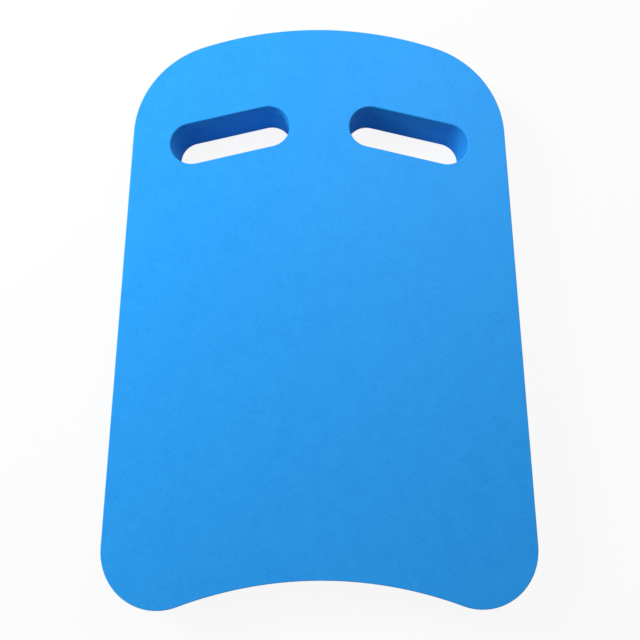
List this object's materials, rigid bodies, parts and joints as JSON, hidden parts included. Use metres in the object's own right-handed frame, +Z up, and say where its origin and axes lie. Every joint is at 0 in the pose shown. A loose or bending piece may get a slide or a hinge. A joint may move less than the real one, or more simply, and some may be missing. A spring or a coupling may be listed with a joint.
{
  "type": "swimming kickboard",
  "caption": "Flat laminated foam swimming kickboard with a domed nose, straight tapering sides, a hollowed tail and slanted round-ended hand slots near the nose.",
  "frame": {"origin": "middle of the board's underside, below the centre of its bounding box", "axes": "+Y along the board towards the nose, +Z up through the thickness, +X to the right with the nose ahead"},
  "size_m": [0.3, 0.43, 0.032],
  "materials": {
    "foam": "matte closed-cell foam",
    "glue": "dull dried contact glue"
  },
  "bodies": {
    "root": {"deck_sheet": "foam", "upper_glue_film": "glue", "core_sheet": "foam", "lower_glue_film": "glue", "base_sheet": "foam"}
  },
  "joints": []
}
